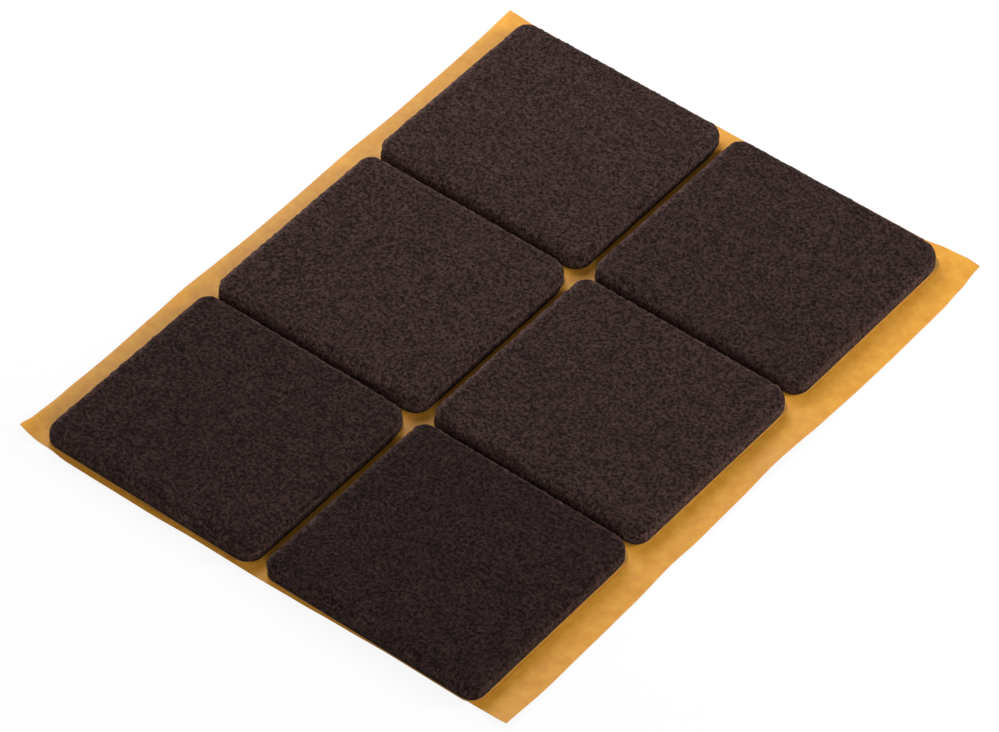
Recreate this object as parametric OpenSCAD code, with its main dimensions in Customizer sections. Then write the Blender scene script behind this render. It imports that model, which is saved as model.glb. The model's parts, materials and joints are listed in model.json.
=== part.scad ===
// Sheet of self-adhesive felt furniture pads: needle-felt pads with round corners, each on a piece of
// double-sided tissue tape, kiss-cut in a grid on one amber release liner.
// +X runs across the sheet, +Y along it and +Z up, from the middle of the sheet's underside.

/* [Felt pads] */
// Width of one pad, across the sheet
pad_w = 41.3; // [20:0.1:80]
// Length of one pad, along the sheet
pad_l = 38.5; // [20:0.1:80]
// Radius of a pad's four corners, seen from above
pad_corner_r = 2.5; // [1.5:0.1:8]
// Thickness of the felt
felt_t = 3; // [1.5:0.1:8]
// Radius of the felt's soft upper edge
felt_edge_r = 1.3; // [0.1:0.1:1.4]

/* [Grid] */
// Gap between the columns of pads
column_gap = 2.4; // [0.5:0.1:10]
// Gap between the rows of pads
row_gap = 1.5; // [0.5:0.1:10]

/* [Tissue tape] */
// Thickness of the adhesive coat that holds the felt
felt_glue_t = 0.05; // [0.02:0.01:0.2]
// Thickness of the tissue in the middle of the tape
tissue_t = 0.05; // [0.02:0.01:0.2]
// Thickness of the adhesive coat that sticks to the furniture
furniture_glue_t = 0.05; // [0.02:0.01:0.2]

/* [Release liner] */
// Thickness of the release paper
liner_t = 0.1; // [0.05:0.01:0.3]
// Bare liner beside the left column
left_margin = 4.6; // [1:0.1:20]
// Bare liner beside the right column
right_margin = 5.5; // [1:0.1:20]
// Bare liner in front of the front row, at the sheet's left end
front_margin = 1; // [1:0.1:20]
// Bare liner behind the back row
back_margin = 1.8; // [0.5:0.1:20]
// How far the front cut runs out of square, towards the pads, over the sheet's width
front_slant = 0.9; // [0:0.1:0.9]

/* [Hidden] */
$fn = 64;

COLUMNS = ["left", "right"];
ROWS = ["front", "middle", "back"];

column_pitch = pad_w + column_gap;
row_pitch = pad_l + row_gap;
grid_w = len(COLUMNS) * column_pitch - column_gap;
grid_l = len(ROWS) * row_pitch - row_gap;
sheet_w = left_margin + grid_w + right_margin;
sheet_l = front_margin + grid_l + back_margin;

// Middle of the pad in the front row of the left column
first_x = -sheet_w / 2 + left_margin + pad_w / 2;
first_y = -sheet_l / 2 + front_margin + pad_l / 2;

// Heights of the undersides of the layers in a pad's stack
furniture_glue_z = liner_t;
tissue_z = furniture_glue_z + furniture_glue_t;
felt_glue_z = tissue_z + tissue_t;
felt_z = felt_glue_z + felt_glue_t;

// Each pad's place in the grid: its name, its column and its row
PLACES = [
    for (row = [0 : len(ROWS) - 1], column = [0 : len(COLUMNS) - 1])
        [str(ROWS[row], "_", COLUMNS[column]), column, row]
];

// Puts a pad's layer at its place in the grid, at a height
module at_place(place, z) {
    translate([first_x + place[1] * column_pitch, first_y + place[2] * row_pitch, z])
        children();
}

// Outline of a pad, seen from above
module pad_outline() {
    square([pad_w - 2 * pad_corner_r, pad_l], center = true);
    square([pad_w, pad_l - 2 * pad_corner_r], center = true);
    for (x = [-1, 1], y = [-1, 1])
        translate([x * (pad_w / 2 - pad_corner_r), y * (pad_l / 2 - pad_corner_r)])
            circle(r = pad_corner_r);
}

// Upright section of the felt, of a given width, with its two upper edges softened
module felt_section(width) {
    translate([-width / 2, 0])
        square([width, felt_t - felt_edge_r]);
    translate([-width / 2 + felt_edge_r, 0])
        square([width - 2 * felt_edge_r, felt_t]);
    // The rounds end at the felt's underside
    intersection() {
        translate([-width / 2, 0])
            square([width, felt_t]);
        for (x = [-1, 1])
            translate([x * (width / 2 - felt_edge_r), felt_t - felt_edge_r])
                circle(r = felt_edge_r);
    }
}

// One round corner of the felt, as a full turn of half a section
module felt_corner() {
    rotate_extrude()
        intersection() {
            felt_section(2 * pad_corner_r);
            square([pad_corner_r, felt_t]);
        }
}

// Felt between two opposite sides, a given width apart and straight over a given length
module felt_run(width, length) {
    rotate([90, 0, 0])
        linear_extrude(length, center = true)
            felt_section(width);
}

// Slab of needle felt, dark brown through and through
module felt_pad() {
    color("#3a2d28") {
        felt_run(pad_w, pad_l - 2 * pad_corner_r);
        rotate([0, 0, 90])
            felt_run(pad_l, pad_w - 2 * pad_corner_r);
        for (x = [-1, 1], y = [-1, 1])
            translate([x * (pad_w / 2 - pad_corner_r), y * (pad_l / 2 - pad_corner_r), 0])
                felt_corner();
    }
}

// Clear adhesive coat between the felt and the tissue
module felt_side_glue() {
    color("#d8c9a4")
        linear_extrude(felt_glue_t)
            pad_outline();
}

// Non-woven tissue that carries the two adhesive coats
module tissue_carrier() {
    color("#efe9dc")
        linear_extrude(tissue_t)
            pad_outline();
}

// Clear adhesive coat that lies on the liner until the pad is peeled off
module furniture_side_glue() {
    color("#d8c9a4")
        linear_extrude(furniture_glue_t)
            pad_outline();
}

// Amber release paper, its front end cut a little out of square
module release_liner() {
    color("#d9a24a")
        linear_extrude(liner_t)
            polygon([
                [-sheet_w / 2, -sheet_l / 2],
                [sheet_w / 2, -sheet_l / 2 + front_slant],
                [sheet_w / 2, sheet_l / 2],
                [-sheet_w / 2, sheet_l / 2]
            ]);
}

release_liner();
for (place = PLACES) {
    at_place(place, felt_z) felt_pad();
    at_place(place, felt_glue_z) felt_side_glue();
    at_place(place, tissue_z) tissue_carrier();
    at_place(place, furniture_glue_z) furniture_side_glue();
}
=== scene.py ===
"""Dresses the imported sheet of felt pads: needle felt, tissue tape, amber release liner, white stage."""

import json
import math

import bmesh
import bpy
import numpy as np
from mathutils import Matrix, Vector

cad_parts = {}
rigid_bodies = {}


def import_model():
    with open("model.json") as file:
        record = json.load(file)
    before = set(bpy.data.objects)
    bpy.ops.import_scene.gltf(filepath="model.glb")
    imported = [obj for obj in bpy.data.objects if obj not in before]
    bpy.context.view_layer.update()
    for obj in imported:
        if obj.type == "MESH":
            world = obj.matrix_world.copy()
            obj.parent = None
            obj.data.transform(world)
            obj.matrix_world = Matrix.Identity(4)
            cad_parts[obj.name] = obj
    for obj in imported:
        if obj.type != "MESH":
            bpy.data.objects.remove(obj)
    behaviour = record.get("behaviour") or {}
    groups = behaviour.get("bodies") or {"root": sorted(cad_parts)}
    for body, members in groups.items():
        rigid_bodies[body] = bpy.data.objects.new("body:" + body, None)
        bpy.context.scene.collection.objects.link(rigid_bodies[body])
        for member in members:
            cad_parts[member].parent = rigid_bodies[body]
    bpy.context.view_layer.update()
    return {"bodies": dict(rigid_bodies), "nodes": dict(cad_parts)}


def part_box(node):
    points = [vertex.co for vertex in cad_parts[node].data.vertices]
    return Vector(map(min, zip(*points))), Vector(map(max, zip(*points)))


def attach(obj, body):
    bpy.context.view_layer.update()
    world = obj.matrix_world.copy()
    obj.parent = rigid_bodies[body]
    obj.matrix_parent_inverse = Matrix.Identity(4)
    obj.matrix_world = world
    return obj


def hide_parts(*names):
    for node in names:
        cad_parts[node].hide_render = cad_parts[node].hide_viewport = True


bl_info = {
    "name": "Felt pad sheet",
    "version": (1, 0, 0),
    "blender": (4, 5, 0),
    "location": "View3D > Sidebar > Felt sheet",
    "description": "Needle-felt pads on tissue tape and an amber release liner",
    "category": "Object",
}

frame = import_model()
PLACES = [body.removeprefix("pad_") for body in frame["bodies"] if body.startswith("pad_")]
MM = 0.001


def linear(code):
    """Linear RGBA of an sRGB hex colour."""
    parts = [int(code[i : i + 2], 16) / 255 for i in (1, 3, 5)]
    return (*(p / 12.92 if p <= 0.04045 else ((p + 0.055) / 1.055) ** 2.4 for p in parts), 1.0)


def length(label, description, millimetres):
    """A length property whose default is given in millimetres."""
    return bpy.props.FloatProperty(
        name=label, description=description, default=millimetres * MM, unit="LENGTH", precision=6
    )


def number(label, description, value):
    """A property that is a plain number."""
    return bpy.props.FloatProperty(name=label, description=description, default=value)


def angle(label, description, degrees):
    """An angle property whose default is given in degrees."""
    return bpy.props.FloatProperty(
        name=label, description=description, default=math.radians(degrees), subtype="ANGLE"
    )


def colour(label, description, code):
    """A colour property whose default is an sRGB hex colour."""
    return bpy.props.FloatVectorProperty(
        name=label, description=description, default=linear(code), size=4, subtype="COLOR", min=0, max=1
    )


class FeltPadSettings(bpy.types.PropertyGroup):
    """Sizes and colours of the felt pads."""

    corner_radius: length("Corner radius", "Radius of the die-cut corners, seen from above", 2.5)
    rim_radius: length("Rim radius", "Radius of the soft upper edge", 1.3)
    mesh_step: length("Mesh step", "Spacing of the points that carry the felt's grain", 0.2)
    grain_size: length("Grain size", "Width of the tufts on the felt", 0.55)
    grain_height: length("Grain height", "Height of the tufts on the felt", 0.13)
    cut_size: length("Cut size", "Width of the uneven places along the cut walls", 0.9)
    cut_height: length("Cut height", "Depth of the uneven places along the cut walls", 0.42)
    swell_size: length("Swell size", "Width of the slow swells in the felt's face", 9)
    swell_height: length("Swell height", "Height of the slow swells in the felt's face", 0.12)
    bulge_reach: length("Bulge reach", "How far into a pad its bulging right wall is felt", 5)
    front_flare: length("Front flare", "How far the front feet spread into the gaps between the rows", 0.45)
    flare_height: length("Flare height", "How far up the front walls that shows", 1.5)
    # The next three settings paint highlights along the left rims, and along the back rims between two pads,
    # where the light from the back left catches them
    rim_highlight_reach: length("Fuzz reach", "Width of the strip along the rims where loose fibres stand up", 1.7)
    left_rim_highlight: number("Left fuzz", "How much lighter the loose fibres make the left rims", 0.9)
    back_rim_highlight: number("Back fuzz", "How much lighter they make the back rims between two pads", 0.1)
    wear_size: length("Wear size", "How far from a rubbed corner the felt gives way", 5)
    foot_radius: length("Foot radius", "Radius of the lower edge, which the die tucks in", 0.35)
    # Painted shade low on the cut walls, where they meet the liner: how far up it reaches
    painted_foot_shade_height: length("Foot height", "How far glue soaks up into the cut walls and darkens them", 0.9)
    foot_hold: length("Foot hold", "How far up the glue keeps the cut walls from fraying", 0.4)
    # Painted shade at the foot: how light it leaves the felt
    painted_foot_shade: number("Foot shade", "How light the soaked foot is", 0.3)
    # Lightens the cut walls, partly for their paler fibre ends and partly as painted light, and puts a
    # painted sheen on the rims
    pale_cuts_and_rim_sheen: number("Cut shade", "How light the cut walls are", 1.7)
    felt_colour: colour("Felt", "Colour of the matted fibres", "#291f1d")
    fibre_colour: colour("Loose fibres", "Colour of the paler fibres on top", "#523e3b")
    end_colour: colour("Fibre ends", "Colour of the fibre ends that stand up and catch the light", "#8a6f68")
    pit_colour: colour("Pits", "Colour of the shaded pits between the fibres", "#150d0c")


class LinerSettings(bpy.types.PropertyGroup):
    """Sizes and colours of the release liner."""

    mesh_step: length("Mesh step", "Spacing of the points that carry the liner's curl", 1)
    score_width: length("Score width", "Width of the kiss-cut groove round each pad", 0.24)
    score_depth: length("Score depth", "Depth of the kiss-cut groove round each pad", 0.04)
    cut_reach: length("Cut reach", "How deep the wandering of the front cut is spread into the sheet", 5)
    paper_colour: colour("Paper", "Colour of the dyed release paper", "#dfa23a")
    cloud_colour: colour("Paper clouds", "Colour of the denser clouds in the paper", "#cb8526")


class TapeSettings(bpy.types.PropertyGroup):
    """Colours of the double-sided tissue tape."""

    tissue_colour: colour("Tissue", "Colour of the soaked non-woven tissue", "#cc9340")
    tissue_fibre_colour: colour("Tissue fibres", "Colour of the thicker fibres in the tissue", "#dab06a")
    glue_colour: colour("Glue", "Colour of the see-through adhesive coats", "#d0973f")
    thick_glue_colour: colour("Thicker glue", "Colour of those coats where they lie thicker", "#deb064")


class StageSettings(bpy.types.PropertyGroup):
    """Camera, light and floor."""

    azimuth: angle("Azimuth", "Turn of the camera round the sheet", 38.565)
    elevation: angle("Elevation", "Height of the camera above the floor", 46.313)
    roll: angle("Roll", "Turn of the camera about its view", -0.266)
    distance: length("Distance", "From the camera to the point that it looks at", 925.4)
    target: bpy.props.FloatVectorProperty(
        name="Target",
        description="Point that the camera looks at",
        default=(1.49 * MM, -3.17 * MM, 0.1 * MM),
        subtype="XYZ",
    )
    lens: bpy.props.FloatProperty(
        name="Lens", description="Focal length on a 36 mm wide sensor", default=214.78, unit="CAMERA"
    )
    floor_colour: colour("Floor", "Colour of the floor and the background", "#ffffff")
    bounce_colour: colour("Bounce", "Colour of the light that the floor throws back", "#989898")
    side_light: number("Side light", "Light from the studio's side walls", 1.5)
    room_light: number("Room light", "Light from the rest of the studio", 0.14)


SETTINGS = {
    "felt_sheet_pads": FeltPadSettings,
    "felt_sheet_liner": LinerSettings,
    "felt_sheet_tape": TapeSettings,
    "felt_sheet_stage": StageSettings,
}


def deselect_all():
    bpy.ops.object.select_all(action="DESELECT")


def make_active(piece):
    """Makes a piece the only selected object and the active one."""
    deselect_all()
    piece.select_set(True)
    bpy.context.view_layer.objects.active = piece


def edit(piece):
    """Opens a piece in edit mode with nothing selected."""
    make_active(piece)
    bpy.ops.object.mode_set(mode="EDIT")
    bpy.ops.mesh.select_all(action="DESELECT")


def pick(piece, kind, test):
    """Selects, in edit mode, the vertices, edges or faces that pass a test."""
    bpy.ops.mesh.select_mode(type=kind)
    bpy.ops.mesh.select_all(action="DESELECT")
    shape = bmesh.from_edit_mesh(piece.data)
    for element in {"VERT": shape.verts, "EDGE": shape.edges, "FACE": shape.faces}[kind]:
        if test(element):
            element.select_set(True)
    shape.select_flush_mode()
    bmesh.update_edit_mesh(piece.data)


def finish_edit():
    bpy.ops.object.mode_set(mode="OBJECT")


def modify(piece, kind, **settings):
    """Adds a modifier to a piece and applies it."""
    make_active(piece)
    bpy.ops.object.modifier_add(type=kind)
    modifier = piece.modifiers[-1]
    for name, value in settings.items():
        setattr(modifier, name, value)
    bpy.ops.object.modifier_apply(modifier=modifier.name)


def points_of(piece):
    """The places of a piece's vertices, one row each."""
    places = np.empty(len(piece.data.vertices) * 3, np.float32)
    piece.data.vertices.foreach_get("co", places)
    return places.reshape(-1, 3).astype(float)


def set_points(piece, places):
    piece.data.vertices.foreach_set("co", places.astype(np.float32).ravel())
    piece.data.update()


def weigh(piece, name, weights):
    """Gives a piece a vertex group with these weights, to the nearest hundredth."""
    group = piece.vertex_groups.new(name=name)
    steps = np.round(np.clip(weights, 0, 1) * 100).astype(int)
    for step in np.unique(steps):
        group.add(np.flatnonzero(steps == step).tolist(), step / 100, "REPLACE")


def ease(value, start, end):
    """Eases from 0 where a value is at its start to 1 where it is at its end, with no slope at either."""
    share = np.clip((value - start) / (end - start), 0, 1)
    return share * share * (3 - 2 * share)


def add_node(tree, kind, inputs=None, **settings):
    """Adds a node with its settings. Each input gets a value, or a link where a socket is given."""
    node = tree.nodes.new(kind)
    for name, value in settings.items():
        setattr(node, name, value)
    for key, value in (inputs or {}).items():
        if isinstance(value, bpy.types.NodeSocket):
            tree.links.new(value, node.inputs[key])
        else:
            node.inputs[key].default_value = value
    return node


def new_material(name):
    """A new material: itself, its node tree, its shader and its Object coordinates."""
    material = bpy.data.materials.new(name)
    material.use_nodes = True
    tree = material.node_tree
    shader = tree.nodes["Principled BSDF"]
    place = add_node(tree, "ShaderNodeTexCoord").outputs["Object"]
    return material, tree, shader, place


def dress(piece, material):
    piece.data.materials.clear()
    piece.data.materials.append(material)


# Felt pads

# Directions in which the bundles of fibres are drawn, in radians
FIBRE_TURNS = (0.2, 1.0, 1.8, 2.6)
# How light each pad's felt is, matched to the photograph pad by pad: painted shade, darker towards the front
# and on the right, where the felt catches less light
PAD_PAINTED_SHADES = {
    "front_left": 0.6,
    "front_right": 0.5,
    "middle_left": 0.785,
    "middle_right": 0.76,
    "back_left": 0.795,
    "back_right": 0.7,
}
# How far the right walls of the left column bulge into the gap between the columns, in millimetres
BULGES = {"front_left": 0.55, "middle_left": 0.7, "back_left": 0.6}
# Where a bulge sets in and where it is full, in millimetres from the pad's front and from its back
BULGE_FROM_FRONT = (-2, 3)
BULGE_FROM_BACK = (0, 6)
# How far each pad's back right corner is rubbed in, in millimetres
CORNER_WEARS = {
    "front_left": 0.2,
    "front_right": 0.45,
    "middle_left": 0.2,
    "middle_right": 0.45,
    "back_left": 0,
    "back_right": 0.65,
}
# How far the felt's surface faces up where each kind of surface sets in and where it is full
FACE = (0.3, 0.8)
RIM_HIGHLIGHT = (0, 0.5)
RIM_AND_WALL = (1, 0.75)
WALL = (0.55, 0.05)
FRAYED_CUT = (0.8846, 0.5)
# How far it faces right, in the same way
RIGHT_SIDE = (0, 0.5)
# Anything that faces down more than this is the underside
UNDERSIDE = -0.5
# Height in the noise that leaves the surface where it is
NOISE_MIDDLE = 0.6
# Where a pad's unfolded shape and its underside start in the map for baking, and how much of it they take
UNFOLDED = (0.01, 0.95)
UNDERSIDE_CORNER = (0.98, 0.015)


def needle_felt(s):
    """Polyester fibres, needle-punched into a mat and die-cut."""
    material, tree, shader, place = new_material("needle felt, punched and die-cut")
    # Fibres bend a few tenths of a millimetre off their line every millimetre.
    bend = add_node(tree, "ShaderNodeTexNoise", {"Vector": place, "Scale": 1 / (1 * MM), "Detail": 1})
    bend = add_node(
        tree, "ShaderNodeVectorMath", {0: bend.outputs["Color"], 1: (0.5, 0.5, 0.5)}, operation="SUBTRACT"
    )
    bent = add_node(
        tree,
        "ShaderNodeVectorMath",
        {0: bend.outputs[0], 1: (0.5 * MM,) * 3, 2: place},
        operation="MULTIPLY_ADD",
    ).outputs[0]
    # Real fibres are 0.03 mm thick, too fine to show, so bundles of 0.22 mm are drawn, in four crossing
    # directions.
    fibres = None
    for turn in FIBRE_TURNS:
        laid = add_node(
            tree,
            "ShaderNodeMapping",
            {"Vector": bent, "Rotation": (0, 0, turn), "Scale": (0.7 * MM, 0.22 * MM, 0.22 * MM)},
            vector_type="TEXTURE",
        )
        strand = add_node(tree, "ShaderNodeTexNoise", {"Vector": laid.outputs[0], "Scale": 1, "Detail": 1})
        strand = add_node(
            tree, "ShaderNodeMapRange", {"Value": strand.outputs["Fac"], "From Min": 0.6, "From Max": 0.82}
        ).outputs[0]
        if fibres is not None:
            strand = add_node(tree, "ShaderNodeMath", {0: fibres, 1: strand}, operation="MAXIMUM").outputs[0]
        fibres = strand
    # Needling leaves tufts half a millimetre across that catch the light, and pits between them that
    # swallow it.
    tufts = add_node(
        tree, "ShaderNodeTexNoise", {"Vector": place, "Scale": 1 / (0.56 * MM), "Detail": 2, "Roughness": 0.5}
    ).outputs["Fac"]
    raised = add_node(
        tree, "ShaderNodeMapRange", {"Value": tufts, "From Min": 0.42, "From Max": 0.78}
    ).outputs[0]
    pits = add_node(
        tree, "ShaderNodeMapRange", {"Value": tufts, "From Min": 0.52, "From Max": 0.24, "To Max": 0.9}
    ).outputs[0]
    raised = add_node(tree, "ShaderNodeMath", {0: raised, 1: fibres}, operation="MAXIMUM").outputs[0]
    mat = add_node(
        tree, "ShaderNodeMix", {0: raised, 6: s.felt_colour, 7: s.fibre_colour}, data_type="RGBA"
    ).outputs[2]
    mat = add_node(tree, "ShaderNodeMix", {0: pits, 6: mat, 7: s.pit_colour}, data_type="RGBA").outputs[2]
    # Single fibre ends, drawn 0.2 mm wide for the same reason, stand up here and there and glint.
    ends = add_node(tree, "ShaderNodeTexNoise", {"Vector": place, "Scale": 1 / (0.2 * MM), "Detail": 0})
    ends = add_node(
        tree,
        "ShaderNodeMapRange",
        {"Value": ends.outputs["Fac"], "From Min": 0.66, "From Max": 0.8, "To Max": 0.4},
    ).outputs[0]
    mat = add_node(tree, "ShaderNodeMix", {0: ends, 6: mat, 7: s.end_colour}, data_type="RGBA").outputs[2]
    # The nap lies this way and that in patches of a few millimetres.
    nap = add_node(tree, "ShaderNodeTexNoise", {"Vector": place, "Scale": 1 / (2.6 * MM), "Detail": 2})
    nap = add_node(
        tree,
        "ShaderNodeMapRange",
        {"Value": nap.outputs["Fac"], "From Min": 0.3, "From Max": 0.7, "To Min": 0.86, "To Max": 1.14},
    ).outputs[0]
    # The shade attribute paints the felt: painted shade per pad and at the foot, painted highlights and sheen
    # on the rims, and cut walls lightened partly for their paler fibre ends.
    shade = add_node(tree, "ShaderNodeAttribute", attribute_name="shade").outputs["Fac"]
    shade = add_node(tree, "ShaderNodeMath", {0: shade, 1: nap}, operation="MULTIPLY").outputs[0]
    mat = add_node(
        tree, "ShaderNodeMix", {0: 1, 6: mat, 7: shade}, data_type="RGBA", blend_type="MULTIPLY"
    ).outputs[2]
    tree.links.new(mat, shader.inputs["Base Color"])
    height = add_node(tree, "ShaderNodeMath", {0: raised, 1: pits}, operation="SUBTRACT").outputs[0]
    bump = add_node(tree, "ShaderNodeBump", {"Height": height, "Strength": 0.5, "Distance": 0.08 * MM})
    tree.links.new(bump.outputs[0], shader.inputs["Normal"])
    shader.inputs["Roughness"].default_value = 0.9
    shader.inputs["Specular IOR Level"].default_value = 0.02
    shader.inputs["Sheen Weight"].default_value = 0.05
    shader.inputs["Sheen Roughness"].default_value = 0.5
    shader.inputs["Sheen Tint"].default_value = linear("#b8a49c")
    return material


def model_blank(s, low, high):
    """One smooth pad with round corners, a soft upper edge and a tucked-in foot, on an even fine mesh."""
    deselect_all()
    bpy.ops.mesh.primitive_cube_add(size=1, location=(low + high) / 2, scale=high - low)
    blank = bpy.context.active_object
    bpy.ops.object.transform_apply(location=True, rotation=True, scale=True)
    edit(blank)
    pick(blank, "EDGE", lambda e: abs(e.verts[0].co.z - e.verts[1].co.z) > (high.z - low.z) / 2)
    bpy.ops.mesh.bevel(offset=s.corner_radius, segments=12, affect="EDGES")
    pick(blank, "EDGE", lambda e: min(v.co.z for v in e.verts) > high.z - s.rim_radius / 10)
    bpy.ops.mesh.bevel(offset=s.rim_radius, segments=10, affect="EDGES")
    pick(blank, "EDGE", lambda e: max(v.co.z for v in e.verts) < low.z + s.foot_radius / 10)
    bpy.ops.mesh.bevel(offset=s.foot_radius, segments=5, affect="EDGES")
    finish_edit()
    modify(blank, "REMESH", mode="VOXEL", voxel_size=s.mesh_step)
    # The underside becomes one flat face at the pad's foot.
    under = low.z + s.mesh_step / 4
    edit(blank)
    pick(blank, "FACE", lambda f: f.normal.z < -0.9 and f.calc_center_median().z < under)
    bpy.ops.mesh.dissolve_faces()
    finish_edit()
    places = points_of(blank)
    places[places[:, 2] < under, 2] = low.z
    set_points(blank, places)
    unfold(blank, s, low, high)
    make_active(blank)
    bpy.ops.object.shade_smooth()
    return blank


def unfold(blank, s, low, high):
    """Maps a pad for baking: face in the middle, walls folded out round it, underside in a corner."""
    places = points_of(blank)
    inset = Vector((s.corner_radius, s.corner_radius, 0))
    core = np.clip(places[:, :2], (low + inset)[:2], (high - inset)[:2])
    away = places[:, :2] - core
    out, down = np.hypot(away[:, 0], away[:, 1]), high.z - places[:, 2]
    flat = s.corner_radius - s.rim_radius
    turned = np.arctan2(out - flat, np.maximum(s.rim_radius - down, 0))
    over_rim = flat + s.rim_radius * turned + np.maximum(down - s.rim_radius, 0)
    walked = np.where(out > flat, over_rim, out)
    plan = core + away * (walked / np.maximum(out, 1e-9))[:, None]
    plan = UNFOLDED[0] + UNFOLDED[1] * (plan - plan.min(0)) / np.ptp(plan, 0).max()
    mesh = blank.data
    corners = np.empty(len(mesh.loops), np.int32)
    mesh.loops.foreach_get("vertex_index", corners)
    spots = plan[corners]
    under = max(mesh.polygons, key=lambda face: face.area)
    loops = list(under.loop_indices)
    spots[loops] = UNDERSIDE_CORNER[0] + UNDERSIDE_CORNER[1] * plan[corners[loops]]
    mesh.uv_layers.new(name="OFBake").data.foreach_set("uv", spots.astype(np.float32).ravel())


def noise_texture(name, size, depth):
    """Cloud texture whose clouds are about one size wide."""
    texture = bpy.data.textures.new(name, "CLOUDS")
    texture.noise_scale = size
    texture.noise_depth = depth
    return texture


class FELTSHEET_OT_felt_pads(bpy.types.Operator):
    """Models the six felt pads"""

    bl_idname = "feltsheet.felt_pads"
    bl_label = "Felt pads"

    def execute(self, context):
        s = context.scene.felt_sheet_pads
        felt = needle_felt(s)
        # Each layer of unevenness has a noise, a vertex group that weighs it and a height.
        layers = (
            (noise_texture("slow swells", s.swell_size, 0), "face", s.swell_height),
            (noise_texture("cut walls", s.cut_size, 1), "cut", s.cut_height),
            (noise_texture("tufts", s.grain_size, 2), "grain", s.grain_height),
        )
        first_low, first_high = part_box(f"felt_pad_{PLACES[0]}")
        blank = model_blank(s, first_low, first_high)
        for place in PLACES:
            low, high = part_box(f"felt_pad_{place}")
            make_active(blank)
            bpy.ops.object.duplicate()
            pad = context.active_object
            pad.name = f"felt_{place}"
            bpy.ops.transform.translate(value=low - first_low)
            bpy.ops.object.transform_apply(location=True, rotation=True, scale=True)
            normals = np.array([v.normal for v in pad.data.vertices])
            self.wear(pad, place, s, low, high)
            self.shade(pad, place, s, low, high, normals)
            self.roughen(pad, s, low.z, normals, layers)
            dress(pad, felt)
            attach(pad, f"pad_{place}")
            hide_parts(f"felt_pad_{place}")
        bpy.data.objects.remove(blank)
        return {"FINISHED"}

    def wear(self, pad, place, s, low, high):
        """Rubs the back right corner in, bulges the right wall and spreads the foot of the front wall."""
        places = points_of(pad)
        off = np.hypot(high.x - places[:, 0], high.y - places[:, 1])
        worn = ease(off, s.wear_size, 0) * CORNER_WEARS[place] * MM / math.sqrt(2)
        places[:, :2] -= worn[:, None]
        from_front, from_back = places[:, 1] - low.y, high.y - places[:, 1]
        bulge = ease(from_front / MM, *BULGE_FROM_FRONT) * ease(from_back / MM, *BULGE_FROM_BACK)
        bulge *= ease(high.x - places[:, 0], s.bulge_reach, 0)
        places[:, 0] += bulge * BULGES.get(place, 0) * MM
        if not place.startswith("front"):
            flare = ease(places[:, 2] - low.z, s.flare_height, 0) * ease(from_front, s.bulge_reach, 0)
            places[:, 1] -= flare * s.front_flare
        set_points(pad, places)

    def shade(self, pad, place, s, low, high, normals):
        """Paints how light the felt is at each point of a pad: painted shade and highlights, and paler cut
        walls.
        """
        x, y, z = points_of(pad).T
        # The cut walls are lightened, partly for their paler fibre ends and partly as painted light, and the
        # rims get a painted sheen; on the right, where the rims catch less light, only the wall is lightened.
        ends = ease(normals[:, 2], *RIM_AND_WALL)
        ends += (ease(normals[:, 2], *WALL) - ends) * ease(normals[:, 0], *RIGHT_SIDE)
        # The pad's painted shade, times the lightened walls and rims
        shade = PAD_PAINTED_SHADES[place] * (1 + (s.pale_cuts_and_rim_sheen - 1) * ends)
        # Painted highlights along the left rims, and along the back rims between two pads, on the parts that
        # face up
        nap = ease(normals[:, 2], *RIM_HIGHLIGHT)
        shade *= 1 + s.left_rim_highlight * nap * ease(x - low.x, s.rim_highlight_reach, s.rim_highlight_reach / 2)
        if not place.startswith("back"):
            shade *= 1 + s.back_rim_highlight * nap * ease(high.y - y, s.rim_highlight_reach, s.rim_highlight_reach / 2)
        # Painted shade low on the walls, where they meet the liner
        shade *= s.painted_foot_shade + (1 - s.painted_foot_shade) * ease(z - low.z, 0, s.painted_foot_shade_height)
        values = pad.data.attributes.new("shade", "FLOAT", "POINT").data
        values.foreach_set("value", shade.astype(np.float32))

    def roughen(self, pad, s, foot, normals, layers):
        """Raises the swells, the fraying and the tufts, but not where the glue holds the foot."""
        up = points_of(pad)[:, 2] - foot
        loose = ease(up, 0, s.foot_hold) * (normals[:, 2] > UNDERSIDE)
        weigh(pad, "grain", loose)
        weigh(pad, "cut", loose * ease(normals[:, 2], *FRAYED_CUT))
        weigh(pad, "face", ease(normals[:, 2], *FACE))
        for texture, group, height in layers:
            modify(
                pad, "DISPLACE", texture=texture, texture_coords="LOCAL", vertex_group=group,
                strength=height, mid_level=NOISE_MIDDLE,
            )
        pad.vertex_groups.clear()


# Release liner

# How far the liner's long edges stand off the floor, as millimetres along the sheet and millimetres up
LEFT_LIFTS = (
    (-60.6, 1.5), (-57, 0.8), (-50, 0.3), (-40, 0), (-29, 0.25), (-22, 0.5), (-14, 0.3), (-5, 0.05),
    (40, 0.05), (51, 0.15), (60.6, 0.6),
)
RIGHT_LIFTS = (
    (-60.6, 0.7), (-50, 0.3), (-38, 0), (-20, 0.15), (0, 0.35), (9, 0.9), (18, 0.45), (28, 0.1),
    (60.6, 0.1),
)
# How sharply the left and right margins turn up towards their edges
LEFT_BEND = 1.6
RIGHT_BEND = 1.2
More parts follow.
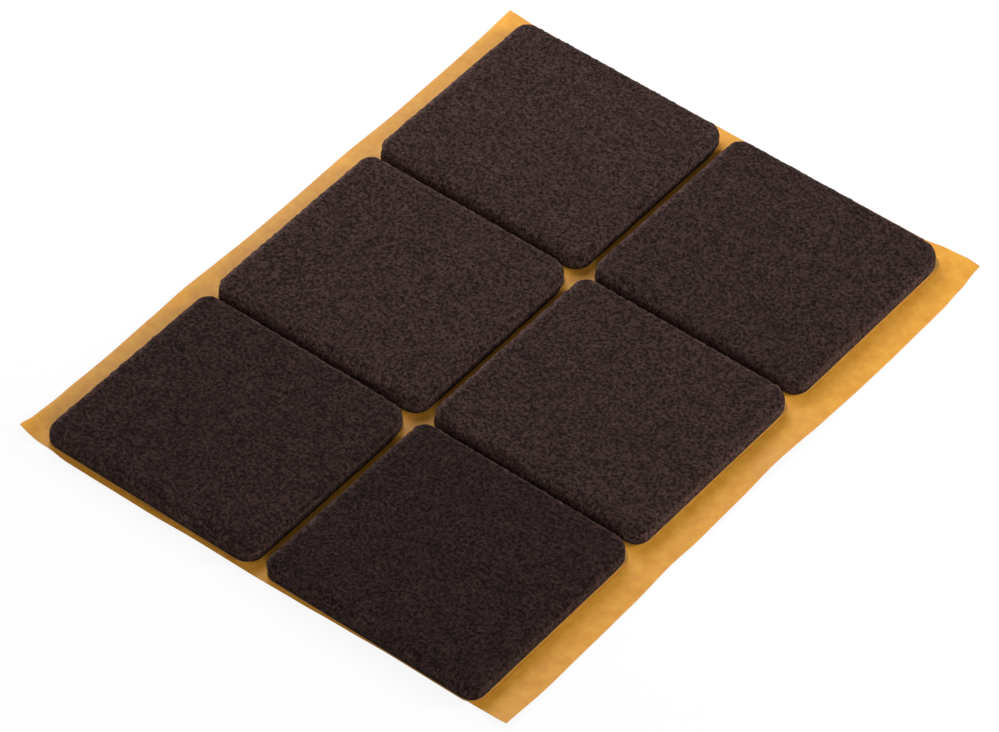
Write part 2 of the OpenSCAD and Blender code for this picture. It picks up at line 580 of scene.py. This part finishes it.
# How far the four cuts wander outwards, as millimetres along the edge and millimetres out
LEFT_DRIFTS = (
    (-60.6, -0.4), (-55, -0.45), (-48, -0.3), (-40, -0.25), (-22, -0.2), (-8, -0.4), (5, -0.4), (18, -0.23),
    (30, -0.5), (44, -0.38), (54, -0.2), (60.6, -0.1),
)
RIGHT_DRIFTS = (
    (-60.6, 0.5), (-50, 0.68), (-39, 0.42), (-29, 0.34), (-19, 0), (-13, 0.2), (-4, 0.1), (4, -0.05),
    (12, 0.17), (20, 0.34), (36, 0.44), (45, 0.35), (50, 0.28), (55, -0.04), (60.6, -0.65),
)
FRONT_DRIFTS = (
    (-47.5, -0.5), (-42, -0.5), (-37, 0), (-30, 0.08), (-20, 0.17), (-12, 0), (0, 0.1), (8, 0), (17, -0.2),
    (27, -0.4), (42, -0.45), (47.5, -0.2),
)
BACK_DRIFTS = (
    (-47.5, 0), (-45.5, 0.15), (-43, 0.1), (0, 0.05), (36, 0.15), (41, 0.85), (45, 1.05), (47.5, 0.75),
)


def along(table, here):
    """Reads a table of millimetres at places along an edge, eased from each entry to the next."""
    at, value = (np.array(column) * MM for column in zip(*table))
    i = np.clip(np.searchsorted(at, here) - 1, 0, len(at) - 2)
    return value[i] + (value[i + 1] - value[i]) * ease(here, at[i], at[i + 1])


def release_paper(s):
    """Amber glassine, supercalendered and coated with silicone."""
    material, tree, shader, place = new_material("glassine, supercalendered and siliconised")
    # Pulp settles in clouds of a millimetre or two, and the dye with it.
    clouds = add_node(
        tree, "ShaderNodeTexNoise", {"Vector": place, "Scale": 1 / (2 * MM), "Detail": 4, "Roughness": 0.6}
    )
    clouds = add_node(
        tree, "ShaderNodeMapRange", {"Value": clouds.outputs["Fac"], "From Min": 0.25, "From Max": 0.8}
    ).outputs[0]
    paper = add_node(
        tree, "ShaderNodeMix", {0: clouds, 6: s.paper_colour, 7: s.cloud_colour}, data_type="RGBA"
    ).outputs[2]
    tree.links.new(paper, shader.inputs["Base Color"])
    # The silicone coat lies a little unevenly over fibres of about half a millimetre.
    coat = add_node(tree, "ShaderNodeTexNoise", {"Vector": place, "Scale": 1 / (0.6 * MM), "Detail": 2})
    rough = add_node(
        tree, "ShaderNodeMapRange", {"Value": coat.outputs["Fac"], "To Min": 0.42, "To Max": 0.58}
    )
    tree.links.new(rough.outputs[0], shader.inputs["Roughness"])
    bump = add_node(
        tree, "ShaderNodeBump", {"Height": coat.outputs["Fac"], "Strength": 0.25, "Distance": 0.02 * MM}
    )
    tree.links.new(bump.outputs[0], shader.inputs["Normal"])
    shader.inputs["Specular IOR Level"].default_value = 0.24
    return material


def model_scores(s, top):
    """V-shaped rings that cut the kiss-cut grooves, one round each pad's outline."""
    pads = bpy.context.scene.felt_sheet_pads
    rings = []
    for place in PLACES:
        low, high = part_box(f"furniture_side_glue_{place}")
        deselect_all()
        bpy.ops.mesh.primitive_plane_add(size=1, location=((low.x + high.x) / 2, (low.y + high.y) / 2, top))
        ring = bpy.context.active_object
        ring.scale = (high.x - low.x + s.score_width, high.y - low.y + s.score_width, 1)
        bpy.ops.object.transform_apply(location=True, rotation=True, scale=True)
        edit(ring)
        bpy.ops.mesh.select_all(action="SELECT")
        bpy.ops.mesh.bevel(offset=pads.corner_radius + s.score_width / 2, segments=10, affect="VERTICES")
        bpy.ops.mesh.select_mode(type="FACE")
        bpy.ops.mesh.select_all(action="SELECT")
        # The rims of the ring stand half a groove's depth above the paper, so that it cuts cleanly.
        bpy.ops.transform.translate(value=(0, 0, s.score_depth / 2))
        bpy.ops.mesh.inset(thickness=s.score_width / 2)
        bpy.ops.transform.translate(value=(0, 0, -1.5 * s.score_depth))
        bpy.ops.mesh.inset(thickness=s.score_width / 2)
        bpy.ops.transform.translate(value=(0, 0, 1.5 * s.score_depth))
        bpy.ops.mesh.delete(type="ONLY_FACE")
        pick(ring, "EDGE", lambda e: e.is_boundary)
        bpy.ops.mesh.bridge_edge_loops()
        bpy.ops.mesh.select_all(action="SELECT")
        bpy.ops.mesh.normals_make_consistent(inside=False)
        finish_edit()
        rings.append(ring)
    deselect_all()
    for ring in rings:
        ring.select_set(True)
    bpy.context.view_layer.objects.active = rings[0]
    bpy.ops.object.join()
    return rings[0]


class FELTSHEET_OT_release_liner(bpy.types.Operator):
    """Models the curled release liner with its kiss-cut grooves"""

    bl_idname = "feltsheet.release_liner"
    bl_label = "Release liner"

    def execute(self, context):
        s = context.scene.felt_sheet_liner
        low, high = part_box("release_liner")
        thick = high.z - low.z
        width, depth = high.x - low.x, high.y - low.y
        deselect_all()
        bpy.ops.mesh.primitive_grid_add(
            x_subdivisions=round(width / s.mesh_step), y_subdivisions=round(depth / s.mesh_step), size=1,
            location=((low.x + high.x) / 2, (low.y + high.y) / 2, high.z),
        )
        liner = context.active_object
        liner.name = "liner"
        liner.scale = (width, depth, 1)
        bpy.ops.object.transform_apply(location=True, rotation=True, scale=True)
        modify(liner, "SOLIDIFY", thickness=thick, offset=-1)
        scores = model_scores(s, high.z)
        modify(liner, "BOOLEAN", operation="DIFFERENCE", solver="EXACT", object=scores)
        bpy.data.objects.remove(scores)
        self.curl(liner, low, high, s.cut_reach)
        dress(liner, release_paper(s))
        bpy.ops.object.shade_smooth_by_angle(angle=math.radians(25))
        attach(liner, "liner")
        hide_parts("release_liner")
        return {"FINISHED"}

    def curl(self, liner, low, high, reach):
        """Slants the front cut, lets the four cuts wander and lifts the margins beside the pads."""
        boxes = [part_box(f"furniture_side_glue_{place}") for place in PLACES]
        left, right = min(b[0].x for b in boxes), max(b[1].x for b in boxes)
        front, back = min(b[0].y for b in boxes), max(b[1].y for b in boxes)
        cad = np.array([v.co for v in frame["nodes"]["release_liner"].data.vertices])
        slant = cad[cad[:, 0] > high.x - MM][:, 1].min() - low.y
        p = points_of(liner)
        x, y = p[:, 0].copy(), p[:, 1].copy()
        before_pads = np.clip((front - y) / (front - low.y), 0, 1)
        p[:, 1] += slant * before_pads * (x - low.x) / (high.x - low.x)
        out_left = np.clip((left - x) / (left - low.x), 0, 1)
        out_right = np.clip((x - right) / (high.x - right), 0, 1)
        p[:, 2] += out_left**LEFT_BEND * along(LEFT_LIFTS, y) + out_right**RIGHT_BEND * along(RIGHT_LIFTS, y)
        p[:, 0] += out_right * along(RIGHT_DRIFTS, y) - out_left * along(LEFT_DRIFTS, y)
        near_front = np.clip(1 - (y - low.y) / reach, 0, 1)
        behind_pads = np.clip((y - back) / (high.y - back), 0, 1)
        p[:, 1] += behind_pads * along(BACK_DRIFTS, x) - near_front * along(FRONT_DRIFTS, x)
        set_points(liner, p)


# Tissue tape

def non_woven_tissue(s):
    """Cellulose tissue, wet-laid and soaked with adhesive."""
    material, tree, shader, place = new_material("tissue, wet-laid non-woven")
    # Fibres of two to four millimetres, drawn 0.25 mm wide so that they show.
    laid = add_node(
        tree,
        "ShaderNodeMapping",
        {"Vector": place, "Rotation": (0, 0, 0.6), "Scale": (3 * MM, 0.25 * MM, 0.25 * MM)},
        vector_type="TEXTURE",
    )
    fibres = add_node(
        tree, "ShaderNodeTexNoise", {"Vector": laid.outputs[0], "Scale": 1, "Detail": 2, "Distortion": 0.6}
    )
    fibres = add_node(
        tree, "ShaderNodeMapRange", {"Value": fibres.outputs["Fac"], "From Min": 0.4, "From Max": 0.7}
    ).outputs[0]
    tissue = add_node(
        tree, "ShaderNodeMix", {0: fibres, 6: s.tissue_colour, 7: s.tissue_fibre_colour}, data_type="RGBA"
    ).outputs[2]
    tree.links.new(tissue, shader.inputs["Base Color"])
    shader.inputs["Roughness"].default_value = 0.8
    return material


def clear_glue(s):
    """Acrylic adhesive, coated: see-through, tinted amber and a little shiny."""
    material, tree, shader, place = new_material("acrylic adhesive, coated")
    # The coat runs in shallow waves a few millimetres apart.
    wave = add_node(tree, "ShaderNodeTexNoise", {"Vector": place, "Scale": 1 / (3 * MM), "Detail": 2})
    tint = add_node(
        tree,
        "ShaderNodeMix",
        {0: wave.outputs["Fac"], 6: s.glue_colour, 7: s.thick_glue_colour},
        data_type="RGBA",
    )
    tree.links.new(tint.outputs[2], shader.inputs["Base Color"])
    bump = add_node(
        tree, "ShaderNodeBump", {"Height": wave.outputs["Fac"], "Strength": 0.3, "Distance": 0.05 * MM}
    )
    tree.links.new(bump.outputs[0], shader.inputs["Normal"])
    shader.inputs["Roughness"].default_value = 0.4
    shader.inputs["Specular IOR Level"].default_value = 0.2
    shader.inputs["IOR"].default_value = 1.47
    shader.inputs["Alpha"].default_value = 0.45
    return material


class FELTSHEET_OT_tissue_tape(bpy.types.Operator):
    """Gives the tape's layers their materials"""

    bl_idname = "feltsheet.tissue_tape"
    bl_label = "Tissue tape"

    def execute(self, context):
        s = context.scene.felt_sheet_tape
        tissue, glue = non_woven_tissue(s), clear_glue(s)
        for place in PLACES:
            dress(frame["nodes"][f"tissue_carrier_{place}"], tissue)
            dress(frame["nodes"][f"felt_side_glue_{place}"], glue)
            dress(frame["nodes"][f"furniture_side_glue_{place}"], glue)
        return {"FINISHED"}


# Stage

# Width of the camera's sensor in millimetres
SENSOR_WIDTH = 36
# Name, place and side in metres, and power in watts
LAMPS = (
    ("back left softbox", (-0.14, 0.11, 0.16), 0.14, 0.38),
    ("back right softbox", (0.24, 0.2, 0.14), 0.09, 0.72),
    ("front right fill", (0.6, -0.7, 0.5), 0.3, 3.6),
)


def seen_directly(tree):
    """1 where the camera, a mirror or glass sees a surface, and 0 where it only gives light."""
    path = add_node(tree, "ShaderNodeLightPath")
    seen = add_node(
        tree,
        "ShaderNodeMath",
        {0: path.outputs["Is Camera Ray"], 1: path.outputs["Is Glossy Ray"]},
        operation="MAXIMUM",
    )
    return add_node(
        tree,
        "ShaderNodeMath",
        {0: seen.outputs[0], 1: path.outputs["Is Transmission Ray"]},
        operation="MAXIMUM",
    ).outputs[0]


class FELTSHEET_OT_stage(bpy.types.Operator):
    """Sets the white floor, the soft lamps and the camera"""

    bl_idname = "feltsheet.stage"
    bl_label = "Stage"

    def execute(self, context):
        s = context.scene.felt_sheet_stage
        self.floor(s)
        self.light(s, context.scene)
        self.camera(s, context.scene)
        context.scene.view_settings.view_transform = "Standard"
        return {"FINISHED"}

    def floor(self, s):
        """A wide floor that is nearly white to the camera and keeps a faint shadow."""
        deselect_all()
        # It lies just under the liner, so that the two don't share a plane.
        bpy.ops.mesh.primitive_plane_add(size=6, location=(0, 0, -0.05 * MM))
        floor = bpy.context.active_object
        floor.name = "floor"
        bpy.ops.object.transform_apply(location=True, rotation=True, scale=True)
        material, tree, shader, place = new_material("white studio floor")
        seen = seen_directly(tree)
        # The floor shows white but throws back less light than a white floor would.
        ground = add_node(
            tree, "ShaderNodeMix", {0: seen, 6: s.bounce_colour, 7: s.floor_colour}, data_type="RGBA"
        )
        tree.links.new(ground.outputs[2], shader.inputs["Base Color"])
        shader.inputs["Roughness"].default_value = 1
        shader.inputs["Specular IOR Level"].default_value = 0
        glow = add_node(tree, "ShaderNodeEmission", {"Color": s.floor_colour, "Strength": 1})
        # An eighth of its shading shows within 90 mm of the middle, and none beyond 150 mm.
        far = add_node(tree, "ShaderNodeVectorMath", {0: place}, operation="LENGTH")
        plain = add_node(
            tree,
            "ShaderNodeMapRange",
            {"Value": far.outputs["Value"], "From Min": 90 * MM, "From Max": 150 * MM, "To Min": 0.88},
        )
        share = add_node(tree, "ShaderNodeMath", {0: seen, 1: plain.outputs[0]}, operation="MULTIPLY")
        mix = add_node(
            tree, "ShaderNodeMixShader", {0: share.outputs[0], 1: shader.outputs[0], 2: glow.outputs[0]}
        )
        tree.links.new(mix.outputs[0], tree.nodes["Material Output"].inputs["Surface"])
        dress(floor, material)

    def light(self, s, scene):
        """A bright studio that looks white, and the lamps."""
        world = bpy.data.worlds.new("white studio")
        world.use_nodes = True
        tree = world.node_tree
        background = tree.nodes["Background"]
        background.inputs["Color"].default_value = s.floor_colour
        # The side walls of the studio are its brightest, so little light falls straight down between the
        # pads.
        way = add_node(tree, "ShaderNodeTexCoord").outputs["Generated"]
        aside = add_node(tree, "ShaderNodeSeparateXYZ", {0: way}).outputs["X"]
        aside = add_node(tree, "ShaderNodeMath", {0: aside, 1: 4}, operation="POWER").outputs[0]
        room = add_node(
            tree, "ShaderNodeMapRange", {"Value": aside, "To Min": s.room_light, "To Max": s.side_light}
        )
        strength = add_node(
            tree,
            "ShaderNodeMapRange",
            {"Value": seen_directly(tree), "To Min": room.outputs[0], "To Max": 1},
        )
        tree.links.new(strength.outputs[0], background.inputs["Strength"])
        scene.world = world
        for name, place, side, power in LAMPS:
            data = bpy.data.lights.new(name, "AREA")
            data.shape, data.size, data.energy = "SQUARE", side, power
            lamp = bpy.data.objects.new(name, data)
            scene.collection.objects.link(lamp)
            lamp.location = place
            lamp.rotation_euler = Vector(place).to_track_quat("Z", "Y").to_euler()

    def camera(self, s, scene):
        """The photograph's camera."""
        data = bpy.data.cameras.new("camera")
        data.lens, data.sensor_width = s.lens, SENSOR_WIDTH
        data.clip_start, data.clip_end = 0.01, 20
        back = Vector((
            math.sin(s.azimuth) * math.cos(s.elevation),
            -math.cos(s.azimuth) * math.cos(s.elevation),
            math.sin(s.elevation),
        ))
        right = Vector((math.cos(s.azimuth), math.sin(s.azimuth), 0))
        up = back.cross(right)
        turn = Matrix.Rotation(-s.roll, 3, back)
        axes = Matrix((turn @ right, turn @ up, back)).transposed()
        camera = bpy.data.objects.new("camera", data)
        scene.collection.objects.link(camera)
        eye = Vector(s.target) + back * s.distance
        camera.matrix_world = Matrix.LocRotScale(eye, axes.to_quaternion(), None)
        scene.camera = camera


OPERATORS = (
    FELTSHEET_OT_felt_pads,
    FELTSHEET_OT_release_liner,
    FELTSHEET_OT_tissue_tape,
    FELTSHEET_OT_stage,
)


class VIEW3D_PT_felt_sheet(bpy.types.Panel):
    """Lists the sheet's settings and steps"""

    bl_label = "Felt pad sheet"
    bl_space_type = "VIEW_3D"
    bl_region_type = "UI"
    bl_category = "Felt sheet"

    def draw(self, context):
        for operator, group in zip(OPERATORS, SETTINGS):
            box = self.layout.box()
            settings = getattr(context.scene, group)
            for name in settings.bl_rna.properties.keys():
                if name not in ("rna_type", "name"):
                    box.prop(settings, name)
            box.operator(operator.bl_idname)


def register():
    for group, settings in SETTINGS.items():
        bpy.utils.register_class(settings)
        setattr(bpy.types.Scene, group, bpy.props.PointerProperty(type=settings))
    for operator in OPERATORS:
        bpy.utils.register_class(operator)
    bpy.utils.register_class(VIEW3D_PT_felt_sheet)


def unregister():
    bpy.utils.unregister_class(VIEW3D_PT_felt_sheet)
    for operator in reversed(OPERATORS):
        bpy.utils.unregister_class(operator)
    for group, settings in reversed(SETTINGS.items()):
        delattr(bpy.types.Scene, group)
        bpy.utils.unregister_class(settings)


def main():
    register()
    bpy.ops.feltsheet.felt_pads()
    bpy.ops.feltsheet.release_liner()
    bpy.ops.feltsheet.tissue_tape()
    bpy.ops.feltsheet.stage()


if __name__ == "__main__":
    main()
